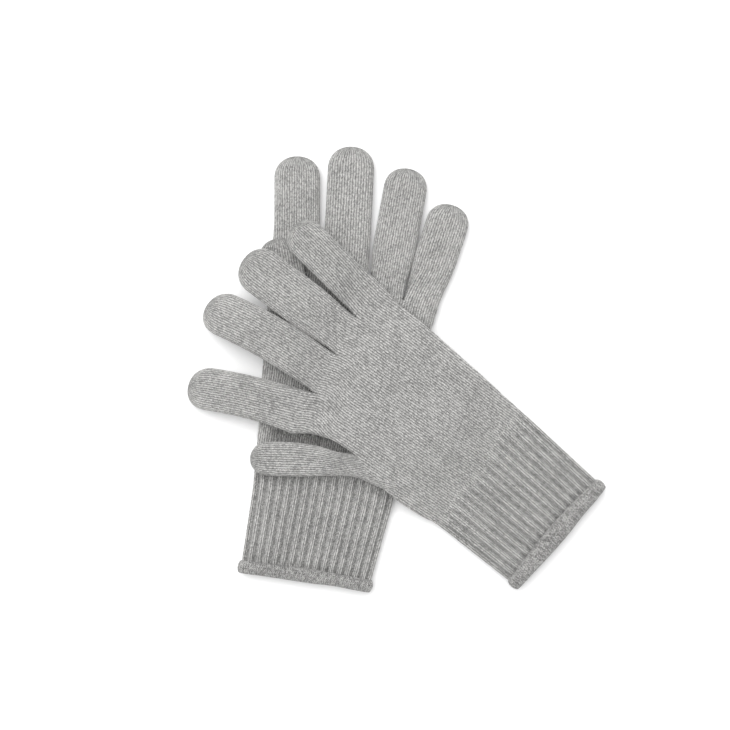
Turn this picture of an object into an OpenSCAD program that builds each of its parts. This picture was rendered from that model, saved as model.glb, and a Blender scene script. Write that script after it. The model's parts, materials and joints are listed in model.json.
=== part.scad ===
// A pair of knitted gloves, laid one across the other on a flat surface.
// The left glove lies underneath, palm up, with its thumb folded on its palm.
// The right glove lies across it, back up. Each glove is a set of flattened
// knitted tubes: a hand, four fingers of two lengths each, a thumb, a ribbed
// cuff and a rolled hem. Every tube is hollow and joins the next one open end
// to open end, so that a hand can go in through the hem.
// Millimetres, +Z up, origin under the middle of the pair on the surface.

/* [Knit] */
// Thickness of one layer of fabric
wall = 2; // [1.6:0.1:2.2]
// Height of a flattened tube: two layers and the room between them
tube_t = 9; // [8.6:0.1:10]
// Room left between two tubes where one bends on the other
seam = 0.4; // [0.3:0.1:0.6]
// Room left between two fingers at their roots
crotch = 1.2; // [1:0.1:2]
// Room left between the upper glove and what it lies on
lay = 0.4; // [0.3:0.1:1]

/* [Right glove fingers: little, ring, middle, index] */
// Widths along the knuckle line
right_base_w = [26.5, 26.5, 27.5, 29]; // [20:0.5:34]
// Widths beyond the knuckles
right_w = [25, 30, 29, 27.5]; // [20:0.5:30]
// Lengths from the knuckle line to the tips
right_len = [62.5, 80, 85, 74]; // [60:0.5:90]
// Headings, in degrees from +X
right_heading = [135.5, 143, 151, 167.5]; // [90:0.5:180]
// Distances from the knuckle line to the middle joints
right_joint = [30, 40, 42, 37]; // [25:0.5:45]

/* [Left glove fingers: little, ring, middle, index] */
// Widths along the knuckle line
left_base_w = [22.5, 23, 30.5, 33]; // [20:0.5:34]
// Widths beyond the knuckles
left_w = [26, 27, 29, 28.5]; // [20:0.5:30]
// Lengths from the knuckle line to the tips
left_len = [65.5, 80, 84.5, 68.5]; // [60:0.5:90]
// Headings, in degrees from +X
left_heading = [74, 81.5, 87.5, 90]; // [70:0.5:110]
// Distances from the knuckle line to the middle joints
left_joint = [32.5, 43.5, 48, 34]; // [25:0.5:50]

/* [Thumbs] */
// Width of a thumb
thumb_w = 23; // [18:0.5:28]
// Length of the right thumb
right_thumb_len = 64.5; // [55:0.5:75]
// Heading of the right thumb, in degrees from +X
right_thumb_heading = 175.5; // [165:0.5:185]
// Width of the left thumb, pressed flat
left_thumb_w = 26.5; // [20:0.5:30]
// Height of the left thumb, pressed flat
left_thumb_t = 5.4; // [5:0.1:6]
// Length of the left thumb
left_thumb_len = 67; // [55:0.5:75]
// Heading of the left thumb, in degrees from +X
left_thumb_heading = 98; // [90:0.5:110]

/* [Hem] */
// Length of the rolled hem along the cuff
hem_len = 7.5; // [6:0.5:9]
// Thickness of the roll of fabric above and at the sides
hem_wall = 4.4; // [4:0.1:5]
// How far the roll of fabric below lifts the end of the cuff off the surface
cuff_lift = 0.5; // [0:0.1:0.6]

/* [Hidden] */

marl = "#a9a8a5";
rib_marl = "#9f9e9b";
hem_marl = "#a4a3a0";

// Heights of the underside of the upper glove on what it lies on
on_glove = tube_t + lay;
on_thumb = tube_t + left_thumb_t + lay;

// Little-finger end of each knuckle line, and the way the line runs
right_knuckle = [-14, 58];
right_knuckle_heading = 241.5;
left_knuckle = [25, 39];
left_knuckle_heading = 162.5;

// Underside of each right finger at distances from the knuckle line: each one
// climbs over the thumb below it or hangs down over the edge of the lower hand
right_drape = [
    [[0, on_glove], [2, on_glove], [18, on_thumb], [62, on_thumb]],
    [[0, on_glove], [2, on_glove], [18, on_thumb + 2 * lay], [74, on_thumb + 2 * lay], [80, on_thumb - 1]],
    [[0, on_glove], [2, on_glove], [18, on_thumb], [54, on_thumb], [60, on_thumb - 1.8], [85, 2.5]],
    [[0, on_glove], [47, on_glove], [53, on_glove - 1.8], [71, 0.5], [74, 0]]
];
flat_drape = [[0, 0], [100, 0]];

// Cross-sections of each hand and cuff, as [edge, other edge, underside]
right_hand_rows = [
    [along(right_knuckle, right_knuckle_heading, 0), right_knuckle_end(), on_glove],
    [[2, 42], [-40, -44.5], on_glove],
    [[22, 25], [-27.5, -50], on_glove],
    [[33, 15], [-25.5, -65], on_glove],
    [[53, -3.5], [-1, -79.5], on_glove],
    [[66.5, -16], [13, -89.5], 4],
    [[75, -24], [25, -95], 0]
];
right_cuff_rows = [[[75, -24], [25, -95], 0], [[123, -69.5], [72, -132], cuff_lift]];
left_hand_rows = [
    [left_knuckle, left_knuckle_end(), 0],
    [[20.5, 25], [-81.5, 45.5], 0],
    [[11, -17.5], [-85.5, -8], 0],
    [[1.5, -55], [-88.5, -49], 0],
    [[-4, -85], [-90, -72.5], 0]
];
left_cuff_rows = [[[-4, -85], [-90, -72.5], 0], [[-16.5, -132.5], [-97.5, -120], cuff_lift]];

// Thumb roots, as the two edges of the open end
right_thumb_root = [[-28.8, -51.5], [-28.8, -65.5]];
left_thumb_root = [along([-65, 18], left_thumb_heading - 90, left_thumb_w / 2),
    along([-65, 18], left_thumb_heading + 90, left_thumb_w / 2)];

// Steps of the round edge of a section, and of the round end of a finger
edge_step = 30;
tip_steps = [0.4, 0.65, 0.85, 0.97, 1];
// Narrowest part of a round end, and how much of its height is left there
tip_narrow = 0.18;
tip_low = 0.45;
// Distance along a finger over which its base takes on its own width
spread_len = 32;
// Longest step between two sections of a finger
section_step = 8;
// Share of the roll of the hem that stands out past each side of the cuff
hem_side = 0.5;
// Move that brings the middle of the pair's box over the origin
centring = [1.5, -0.94, 0];

// Point at distance d from p along a heading
function along(p, heading, d) = p + d * [cos(heading), sin(heading)];
function sum(v, n) = n == 0 ? 0 : v[n - 1] + sum(v, n - 1);
function right_knuckle_end() = along(right_knuckle, right_knuckle_heading, sum(right_base_w, 4));
function left_knuckle_end() = along(left_knuckle, left_knuckle_heading, sum(left_base_w, 4));

// Cross-section of a flattened tube from edge a to edge b: flat above and
// below and round at both edges, with its underside at height z
function section(a, b, z, t) =
    let (r = t / 2, c = (a + b) / 2, half = norm(b - a) / 2 - r, e = (b - a) / norm(b - a))
    [
        for (q = [90:edge_step:270]) edge_point(c - half * e, e, r, q, z + r),
        for (q = [270:edge_step:450]) edge_point(c + half * e, e, r, q, z + r)
    ];
function edge_point(c, e, r, q, z) = [c[0] + r * cos(q) * e[0], c[1] + r * cos(q) * e[1], z + r * sin(q)];

// A row of a hand or cuff moved towards the next row by distance d
function moved_row(row, next, d) =
    let (run = (next[0] + next[1] - row[0] - row[1]) / 2, k = d / norm(run))
    [row[0] + k * (next[0] - row[0]), row[1] + k * (next[1] - row[1]), row[2] + k * (next[2] - row[2])];
// Rows with both open ends drawn in by half a seam
function trimmed(rows) =
    let (n = len(rows) - 1)
    [
        moved_row(rows[0], rows[1], seam / 2),
        for (i = [1:1:n - 1]) rows[i],
        moved_row(rows[n], rows[n - 1], seam / 2)
    ];
function row_section(row, t, inset) =
    let (e = (row[1] - row[0]) / norm(row[1] - row[0]))
    section(row[1] - inset * e, row[0] + inset * e, row[2] + inset, t - 2 * inset);

// A limb is [edge a, edge b, heading, length, width, height, drape, joint]
function finger(knuckle, line, base_w, w, length, heading, drape, joint, i) =
    let (start = sum(base_w, i) + crotch / 2)
    [along(knuckle, line, start), along(knuckle, line, start + base_w[i] - crotch),
        heading, length, w, tube_t, drape, joint];
function right_finger(i) = finger(right_knuckle, right_knuckle_heading, right_base_w, right_w[i],
    right_len[i], right_heading[i], right_drape[i], right_joint[i], i);
function left_finger(i) = finger(left_knuckle, left_knuckle_heading, left_base_w, left_w[i],
    left_len[i], left_heading[i], flat_drape, left_joint[i], i);
function right_thumb_limb() = [right_thumb_root[0], right_thumb_root[1], right_thumb_heading,
    right_thumb_len, thumb_w, tube_t, [[0, on_glove], [100, on_glove]], 0];
function left_thumb_limb() = [left_thumb_root[0], left_thumb_root[1], left_thumb_heading,
    left_thumb_len, left_thumb_w, left_thumb_t, [[0, tube_t], [100, tube_t]], 0];

// Section of a limb at distance s, drawn in by inset for its inner skin
function limb_section(limb, s, inset) =
    let (
        half = limb[4] / 2 - inset,
        round_from = limb[3] - inset - half,
        q = max(0, (s - round_from) / half),
        narrow = sqrt(max(0, 1 - q * q)),
        root = (limb[1] - limb[0]) / 2,
        own = half * [cos(limb[2] + 90), sin(limb[2] + 90)],
        k = min(1, s / spread_len),
        arm = (1 - k) * root * (1 - inset / norm(root)) + k * own,
        c = along((limb[0] + limb[1]) / 2, limb[2], s),
        t = (limb[5] - 2 * inset) * (tip_low + (1 - tip_low) * narrow),
        wide = max(narrow, tip_narrow)
    )
    section(c - wide * arm, c + wide * arm, lookup(s, limb[6]) + (limb[5] - t) / 2, t);

// Distances at which a limb has sections, from one distance to another
function stops(from, to) =
    let (n = ceil((to - from) / section_step))
    [for (i = [0:n]) from + (to - from) * i / n];
function tip_stops(limb, from, inset) =
    let (half = limb[4] / 2 - inset, round_from = limb[3] - inset - half)
    concat(stops(from, round_from), [for (q = tip_steps) round_from + q * half]);

// Faces that join the rings of one skin, turned the other way on the inside
function skin(first, rows, n, inside) = [
    for (r = [0:rows - 2], i = [0:n - 1])
        let (a = first + r * n + i, b = first + r * n + (i + 1) % n)
        inside ? [a, b, b + n, a + n] : [a, a + n, b + n, b]
];
function rim(outer, inner, n, end) = [
    for (i = [0:n - 1])
        let (j = (i + 1) % n)
        end ? [outer + i, inner + i, inner + j, outer + j] : [outer + i, outer + j, inner + j, inner + i]
];
function cap(first, n, inside) = [for (i = [0:n - 1]) inside ? first + i : first + n - 1 - i];

// Hollow tube between an outer and an inner list of rings, open at its first
// end, and closed over at its other end if it is a tip
module shell(outer, inner, is_tip) {
    n = len(outer[0]);
    inside_first = len(outer) * n;
    last_outer = (len(outer) - 1) * n;
    last_inner = inside_first + (len(inner) - 1) * n;
    far_end = is_tip
        ? [cap(last_outer, n, false), cap(last_inner, n, true)]
        : rim(last_outer, last_inner, n, true);
    translate(centring) polyhedron(
        points = [for (rings = [outer, inner], ring = rings) each ring],
        faces = concat(
            skin(0, len(outer), n, false),
            skin(inside_first, len(inner), n, true),
            rim(0, inside_first, n, false),
            far_end
        ),
        convexity = 6
    );
}

module rows_shell(rows) {
    trim = trimmed(rows);
    shell([for (row = trim) row_section(row, tube_t, 0)], [for (row = trim) row_section(row, tube_t, wall)], false);
}

// Part of a finger from the knuckle line to its middle joint
module limb_base(limb) {
    s = stops(seam / 2, limb[7] - seam / 2);
    shell([for (d = s) limb_section(limb, d, 0)], [for (d = s) limb_section(limb, d, wall)], false);
}

// Part of a finger from a distance to its round end
module limb_tip(limb, from) {
    shell(
        [for (d = tip_stops(limb, from, 0)) limb_section(limb, d, 0)],
        [for (d = tip_stops(limb, from, wall)) limb_section(limb, d, wall)],
        true
    );
}

module finger_tip(limb) {
    limb_tip(limb, limb[7] + seam / 2);
}

// Rolled hem past the end of a cuff: it stands proud above and at the sides,
// is pressed flat below, and keeps the room inside the cuff open
module rolled_hem(rows) {
    last = rows[len(rows) - 1];
    before = rows[len(rows) - 2];
    swell = [0.5, 1, 1, 0.5];
    reach = [seam / 2, 0.3 * hem_len, 0.7 * hem_len, hem_len];
    proud = hem_wall - wall;
    places = [for (d = reach) moved_row(last, before, -d)];
    shell(
        [
            for (i = [0:3])
                let (e = (last[1] - last[0]) / norm(last[1] - last[0]), side = hem_side * proud * swell[i])
                section(places[i][1] + side * e, places[i][0] - side * e, 0,
                    cuff_lift + tube_t + proud * swell[i])
        ],
        [for (place = places) row_section([place[0], place[1], cuff_lift], tube_t, wall)],
        false
    );
}

module left_hand() { color(marl) rows_shell(left_hand_rows); }
module left_little_base() { color(marl) limb_base(left_finger(0)); }
module left_little_tip() { color(marl) finger_tip(left_finger(0)); }
module left_ring_base() { color(marl) limb_base(left_finger(1)); }
module left_ring_tip() { color(marl) finger_tip(left_finger(1)); }
module left_middle_base() { color(marl) limb_base(left_finger(2)); }
module left_middle_tip() { color(marl) finger_tip(left_finger(2)); }
module left_index_base() { color(marl) limb_base(left_finger(3)); }
module left_index_tip() { color(marl) finger_tip(left_finger(3)); }
module left_thumb() { color(marl) limb_tip(left_thumb_limb(), 0); }
module left_cuff() { color(rib_marl) rows_shell(left_cuff_rows); }
module left_hem() { color(hem_marl) rolled_hem(left_cuff_rows); }

module right_hand() { color(marl) rows_shell(right_hand_rows); }
module right_little_base() { color(marl) limb_base(right_finger(0)); }
module right_little_tip() { color(marl) finger_tip(right_finger(0)); }
module right_ring_base() { color(marl) limb_base(right_finger(1)); }
module right_ring_tip() { color(marl) finger_tip(right_finger(1)); }
module right_middle_base() { color(marl) limb_base(right_finger(2)); }
module right_middle_tip() { color(marl) finger_tip(right_finger(2)); }
module right_index_base() { color(marl) limb_base(right_finger(3)); }
module right_index_tip() { color(marl) finger_tip(right_finger(3)); }
module right_thumb() { color(marl) limb_tip(right_thumb_limb(), 0); }
module right_cuff() { color(rib_marl) rows_shell(right_cuff_rows); }
module right_hem() { color(hem_marl) rolled_hem(right_cuff_rows); }

left_hand();
left_little_base();
left_little_tip();
left_ring_base();
left_ring_tip();
left_middle_base();
left_middle_tip();
left_index_base();
left_index_tip();
left_thumb();
left_cuff();
left_hem();
right_hand();
right_little_base();
right_little_tip();
right_ring_base();
right_ring_tip();
right_middle_base();
right_middle_tip();
right_index_base();
right_index_tip();
right_thumb();
right_cuff();
right_hem();
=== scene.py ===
"""Looks of a pair of knitted gloves, laid one across the other on a flat surface.

Every knitted tube is lofted as a hollow shell whose mesh columns follow the wales, the
lengthwise lines of loops, so the ridges, the two-by-two ribs and the rolled hem are shaped
in the mesh. A tube's size and course come from the sizes below, in millimetres, and its
place from the frame.
"""

import json
import logging
import math
from dataclasses import dataclass, field
from enum import Enum

import bpy
import numpy as np
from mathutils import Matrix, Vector


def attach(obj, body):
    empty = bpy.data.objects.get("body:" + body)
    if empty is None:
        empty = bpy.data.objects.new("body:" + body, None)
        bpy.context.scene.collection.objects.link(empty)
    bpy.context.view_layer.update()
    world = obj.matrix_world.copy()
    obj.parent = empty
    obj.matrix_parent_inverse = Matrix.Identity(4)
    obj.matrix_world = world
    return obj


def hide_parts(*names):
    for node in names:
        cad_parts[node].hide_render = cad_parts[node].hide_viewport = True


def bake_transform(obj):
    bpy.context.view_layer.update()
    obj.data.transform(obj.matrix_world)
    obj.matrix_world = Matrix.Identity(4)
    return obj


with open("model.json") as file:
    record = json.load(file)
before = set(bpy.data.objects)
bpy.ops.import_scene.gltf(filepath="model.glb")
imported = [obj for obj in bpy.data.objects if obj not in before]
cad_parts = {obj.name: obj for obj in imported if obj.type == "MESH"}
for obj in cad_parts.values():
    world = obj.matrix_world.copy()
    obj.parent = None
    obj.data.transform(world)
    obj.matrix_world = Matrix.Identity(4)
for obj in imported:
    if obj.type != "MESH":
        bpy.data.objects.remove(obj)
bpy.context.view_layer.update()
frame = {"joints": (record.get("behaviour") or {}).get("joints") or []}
MM = 0.001
LOG = logging.getLogger("gloves")


class Slot(Enum):
    """Material slots of the record that the knitted pieces take their finish from."""

    LEFT = "knit_left"
    RIGHT = "knit_right"
    RIB = "knit_rib"
    HEM = "knit_hem"


class Fabric(Enum):
    """How the loops of a fabric lie: smooth side out, ribbed, or rough side out."""

    PLAIN = 0
    RIB = 1
    REVERSE = 2


@dataclass(frozen=True)
class Gauge:
    """Size of the knitting, in millimetres, and how finely the mesh follows it.

    Attributes:
        wale: Width of a wale, one lengthwise line of loops.
        course: Height of a course, one row of loops.
        columns: Mesh columns to a wale of plain knitting.
        rows: Mesh rows to a course.
        ridge: Height of a wale's ridge.
        rib_wales: Wales from one rib to the next.
        rib_columns: Mesh columns to a wale of ribbed knitting.
        rib_rise: Half the height from a valley to the top of a rib.
        fabric: Thickness of the fabric.
    """

    wale: float = 1.52
    course: float = 1.1
    columns: int = 4
    rows: int = 1
    ridge: float = 0.26
    rib_wales: int = 4
    rib_columns: int = 5
    rib_rise: float = 0.8
    fabric: float = 1.6


KNIT = Gauge()

# No knitting reaches lower than this above the floor.
LOWEST = 0.02
# Fullness of the side of a tube that is pressed against what it lies on.
FLOOR_POWER = 2.6
# Distance before a middle joint at which the end of the finger starts.
JOINT_START = 9.0
# Arch of a closing stitch: how far aside, and how far below its top, each point lies.
ARCH = ((-1, 0.66), (-0.4, 0.0), (0.4, 0.0), (1, 0.66))


def crown(distance: np.ndarray, reach: float, power: float = 2.2) -> np.ndarray:
    """Height of a rounded-over surface at a distance from its edge.

    Args:
        distance: Distances from the edge.
        reach: Distance at which the surface is level.
        power: How full the curve is; 2 is an ellipse.

    Returns:
        Heights, from 0 at the edge to 1 where the surface is level.
    """
    inside = np.clip(distance / reach, 0, 1)
    return (1 - (1 - inside) ** power) ** (1 / power)


def ease(x: np.ndarray) -> np.ndarray:
    """Returns a smooth step from 0 to 1 as x goes from 0 to 1."""
    x = np.clip(x, 0, 1)
    return x * x * (3 - 2 * x)


def heading(degrees: float) -> np.ndarray:
    """Returns the unit vector in the plane at an angle from +X."""
    return np.array([math.cos(math.radians(degrees)), math.sin(math.radians(degrees))])


def waves(plan: np.ndarray, length: float, seed: int) -> np.ndarray:
    """Gentle bumps for cloth that isn't quite flat.

    Args:
        plan: Points in the plane, in millimetres.
        length: Usual distance between bumps.
        seed: Which pattern of bumps.

    Returns:
        Heights of about one unit, one a point.
    """
    draw = np.random.default_rng(seed)
    total = np.zeros(plan.shape[:-1])
    count = 6
    for _ in range(count):
        way = heading(draw.uniform(0, 360)) / (length * draw.uniform(0.7, 1.5))
        total += np.sin(2 * math.pi * (plan @ way + draw.uniform(0, 1)))
    return total / math.sqrt(count)


def even_fractions(width: float, reaches: tuple[float, float], height: float, count: int) -> np.ndarray:
    """Places across a crowned sheet that are evenly spaced along its surface.

    Args:
        width: Width of the sheet in plan.
        reaches: Distances from each edge over which it is rounded over; 0 for a straight edge.
        height: Height of the sheet above its edges.
        count: Number of columns.

    Returns:
        count + 1 fractions of the width, from 0 to 1.
    """
    x = (1 - np.cos(np.linspace(0, math.pi, 241))) / 2
    rise = np.full_like(x, height)
    for distance, reach in ((x * width, reaches[0]), ((1 - x) * width, reaches[1])):
        if reach:
            rise = rise * crown(distance, reach)
    arc = np.concatenate([[0], np.cumsum(np.hypot(np.diff(x * width), np.diff(rise)))])
    return np.interp(np.linspace(0, arc[-1], count + 1), arc, x)


class Course:
    """Smooth course of numbers, such as an edge or a height, at distances along a tube."""

    step = 0.5

    def __init__(self, stations: list[float], values: list, soft: float) -> None:
        """Makes the course.

        Args:
            stations: Distances at which the values are given.
            values: A number or a point at each station.
            soft: Distance over which corners are rounded off.
        """
        table = np.array(values, float).reshape(len(stations), -1)
        spare = 3 * soft
        self.at = np.arange(stations[0] - 2 * spare, stations[-1] + 2 * spare, self.step)
        reach = np.arange(-spare, spare + self.step, self.step)
        kernel = np.exp(-0.5 * (reach / soft) ** 2)
        kernel /= kernel.sum()
        columns = []
        for column in table.T:
            first = (column[1] - column[0]) / (stations[1] - stations[0])
            last = (column[-1] - column[-2]) / (stations[-1] - stations[-2])
            line = np.interp(self.at, stations, column)
            line += np.minimum(self.at - stations[0], 0) * first
            line += np.maximum(self.at - stations[-1], 0) * last
            columns.append(np.convolve(np.pad(line, len(kernel) // 2, mode="edge"), kernel, "valid"))
        self.columns = columns

    def __call__(self, distances: np.ndarray) -> np.ndarray:
        """Returns the values at the distances, a row for each."""
        found = [np.interp(distances, self.at, column) for column in self.columns]
        return found[0] if len(found) == 1 else np.stack(found, axis=-1)


def ring_rows(
    first: np.ndarray,
    second: np.ndarray,
    across: np.ndarray,
    middle: np.ndarray,
    above: np.ndarray,
    below: np.ndarray,
) -> np.ndarray:
    """Rings of points round a flattened tube.

    Args:
        first: First edge of each row, in plan.
        second: Second edge of each row, in plan.
        across: Fractions from the first edge to the second, a row of columns for each row.
        middle: Height of the fold at each point.
        above: Height of the upper sheet above the fold.
        below: Depth of the lower sheet below the fold.

    Returns:
        Points as rows, columns and coordinates: the upper sheet, then the lower one back.
    """
    plan = first[:, None] + across[..., None] * (second - first)[:, None]
    upper = np.dstack([plan, middle + above])
    lower = np.dstack([plan, middle - below])
    return np.concatenate([upper[:, :-1], lower[:, :0:-1]], axis=1)


def cells(rows: int, columns: int) -> tuple[np.ndarray, np.ndarray, np.ndarray]:
    """Numbers the faces of a tube.

    Args:
        rows: Faces along the tube.
        columns: Faces round the tube.

    Returns:
        The row, the column and the next column of each face.
    """
    row, column = np.meshgrid(np.arange(rows), np.arange(columns), indexing="ij")
    row, column = row.ravel(), column.ravel()
    return row, column, (column + 1) % columns


@dataclass
class Knit:
    """A knitted shell on its way to a mesh.

    Attributes:
        rings: Points of the outer skin as rows, columns and coordinates, in millimetres.
        upper: Wale numbers of the upper sheet's columns.
        lower: Wale numbers of the lower sheet's columns.
        courses: Course number of each row.
        fabric: How the loops lie.
        closed: Whether the far end is closed over, as a fingertip is.
        strength: Share of the relief that shows, in each row or at each point.
        inner_rows: Rows of the outer skin to one of the inner skin.
        inner_columns: Columns of the outer skin to one of the inner skin.
    """

    rings: np.ndarray
    upper: np.ndarray
    lower: np.ndarray
    courses: np.ndarray
    fabric: Fabric = Fabric.PLAIN
    closed: bool = False
    strength: np.ndarray | None = None
    inner_rows: int = 6
    inner_columns: int = 8

    def outward(self) -> tuple[np.ndarray, bool]:
        """Finds the outward normals.

        Returns:
            The normals, and whether the faces are wound the other way round.
        """
        round_tube = np.roll(self.rings, -1, axis=1) - np.roll(self.rings, 1, axis=1)
        along_tube = np.gradient(self.rings, axis=0)
        normals = np.cross(round_tube, along_tube)
        normals /= np.maximum(np.linalg.norm(normals, axis=2, keepdims=True), 1e-9)
        turned = normals[:, : self.rings.shape[1] // 2, 2].mean() < 0
        return (-normals if turned else normals), bool(turned)

    def wale_numbers(self) -> tuple[np.ndarray, np.ndarray]:
        """Numbers the wales round the whole tube.

        Returns:
            The wale numbers where each column starts and where it ends, a row for each ring.
        """
        shape = (len(self.rings), self.rings.shape[1] // 2 + 1)
        upper, lower = np.broadcast_to(self.upper, shape), np.broadcast_to(self.lower, shape)
        start = np.concatenate([upper[:, :-1], lower[:, :0:-1]], axis=1)
        end = np.concatenate([upper[:, 1:], lower[:, -2::-1]], axis=1)
        return start, end

    def relief(self) -> np.ndarray:
        """Works out the ridges of the wales and the ribs.

        Returns:
            How far the loops stand out at each point, in millimetres.
        """
        wales, _ = self.wale_numbers()
        middle, steepness, breadth = 0.7, 2.2, 0.8
        rise = KNIT.ridge * (np.abs(np.sin(math.pi * wales)) - middle)
        if self.fabric is Fabric.RIB:
            turn = 2 * math.pi * (wales / KNIT.rib_wales - 0.25)
            rib = np.tanh(steepness * np.cos(turn) + breadth)
            rise = rise + KNIT.rib_rise * (rib - middle)
        if self.strength is not None:
            rise = rise * self.strength
        return rise

    def inner(self) -> np.ndarray:
        """Sets a coarser skin inside the outer skin.

        Returns:
            Its points as rows, columns and coordinates.
        """
        most_inset, most_narrowing = 0.4, 0.5
        rows = list(range(0, len(self.rings), self.inner_rows))
        if self.closed:
            end = self.rings[-1].mean(axis=0)
            gone = [np.linalg.norm(self.rings[r].mean(axis=0) - end) for r in rows]
            rows = [r for r, away in zip(rows, gone) if away > 2 * KNIT.fabric]
        elif rows[-1] != len(self.rings) - 1:
            rows.append(len(self.rings) - 1)
        rings = self.rings[rows]
        count = rings.shape[1]
        other = rings[:, -np.arange(count) % count, 2]
        inset = np.clip(most_inset * np.abs(rings[..., 2] - other), 0, KNIT.fabric)
        first, second = rings[:, 0], rings[:, count // 2]
        centre = (first + second)[:, None] / 2
        width = np.linalg.norm(second - first, axis=1)[:, None, None] / 2
        inner = rings.copy()
        inner[..., :2] -= (rings - centre)[..., :2] * np.minimum(KNIT.fabric / width, most_narrowing)
        inner[..., 2] -= np.sign(rings[..., 2] - other) * inset
        return inner[:, :: self.inner_columns]

    def mesh(self, name: str) -> bpy.types.Object:
        """Builds the mesh object.

        Args:
            name: Name of the piece.

        Returns:
            The finished object, at the origin and in metres.
        """
        normals, turned = self.outward()
        outer = self.rings + normals * self.relief()[..., None]
        outer[..., 2] = np.maximum(outer[..., 2], LOWEST)
        inner = self.inner()
        points = [outer.reshape(-1, 3), inner.reshape(-1, 3)]
        faces = Faces(turned)
        self.outer_faces(faces)
        self.inner_faces(faces, *inner.shape[:2])
        self.mouth_faces(faces, *inner.shape[:2])
        if self.closed:
            points.append(np.stack([outer[-1].mean(axis=0), inner[-1].mean(axis=0)]))
            self.tip_faces(faces, *inner.shape[:2])
        return faces.build(name, np.concatenate(points) * MM)

    def outer_faces(self, faces: "Faces") -> None:
        """Adds the faces of the outer skin.

        Args:
            faces: Faces of the mesh so far.
        """
        rows, count = self.rings.shape[:2]
        start, end = self.wale_numbers()
        r, c, d = cells(rows - 1, count)
        v = self.courses
        faces.add(
            np.stack([r * count + c, r * count + d, (r + 1) * count + d, (r + 1) * count + c], axis=1),
            np.stack([start[r, c], end[r, c], end[r + 1, c], start[r + 1, c]], axis=1),
            np.stack([v[r], v[r], v[r + 1], v[r + 1]], axis=1),
        )

    def inner_faces(self, faces: "Faces", few_rows: int, few: int) -> None:
        """Adds the faces of the inner skin.

        Args:
            faces: Faces of the mesh so far.
            few_rows: Rows of the inner skin.
            few: Columns of the inner skin.
        """
        base = self.rings.shape[0] * self.rings.shape[1]
        start, end = self.wale_numbers()
        r, c, d = cells(few_rows - 1, few)
        u0, u1 = start[0, c * self.inner_columns], end[0, c * self.inner_columns]
        v0, v1 = self.courses[0] + r, self.courses[0] + r + 1.0
        faces.add(
            base + np.stack([r * few + c, (r + 1) * few + c, (r + 1) * few + d, r * few + d], axis=1),
            np.stack([u0, u0, u1, u1], axis=1),
            np.stack([v0, v1, v1, v0], axis=1),
        )

    def mouth_faces(self, faces: "Faces", few_rows: int, few: int) -> None:
        """Adds the faces that join the two skins round each open end.

        Args:
            faces: Faces of the mesh so far.
            few_rows: Rows of the inner skin.
            few: Columns of the inner skin.
        """
        rows, count = self.rings.shape[:2]
        base = rows * count
        start, _ = self.wale_numbers()
        step = self.inner_columns
        mouths = [(0, base, 0)]
        if not self.closed:
            mouths.append(((rows - 1) * count, base + (few_rows - 1) * few, -1))
        for out_row, in_row, row in mouths:
            c = np.arange(few)
            edge = [(c * step + k) % count for k in range(step + 1)]
            ring = [out_row + e for e in edge] + [in_row + (c + 1) % few, in_row + c]
            first = start[row, c * step]
            wales = [first + k / KNIT.columns for k in range(step + 1)] + [first] * 2
            if row == 0:
                ring, wales = ring[::-1], wales[::-1]
            course = np.full((few, step + 3), self.courses[row])
            faces.add(np.stack(ring, axis=1), np.stack(wales, axis=1), course)

    def tip_faces(self, faces: "Faces", few_rows: int, few: int) -> None:
        """Adds the fans that close both skins over at the tip.

        Args:
            faces: Faces of the mesh so far.
            few_rows: Rows of the inner skin.
            few: Columns of the inner skin.
        """
        rows, count = self.rings.shape[:2]
        base = rows * count
        start, end = self.wale_numbers()
        course = self.courses[-1]
        c = np.arange(count)
        last = (rows - 1) * count
        pole = np.full(count, base + few_rows * few)
        faces.add(
            np.stack([last + c, last + (c + 1) % count, pole], axis=1),
            np.stack([start[-1, c], end[-1, c], start[-1, c]], axis=1),
            np.stack([np.full(count, course)] * 2 + [np.full(count, course + 1)], axis=1),
        )
        c = np.arange(few)
        last = base + (few_rows - 1) * few
        pole = np.full(few, base + few_rows * few + 1)
        faces.add(
            np.stack([last + c, pole, last + (c + 1) % few], axis=1),
            np.zeros((few, 3)),
            np.zeros((few, 3)),
        )


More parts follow.
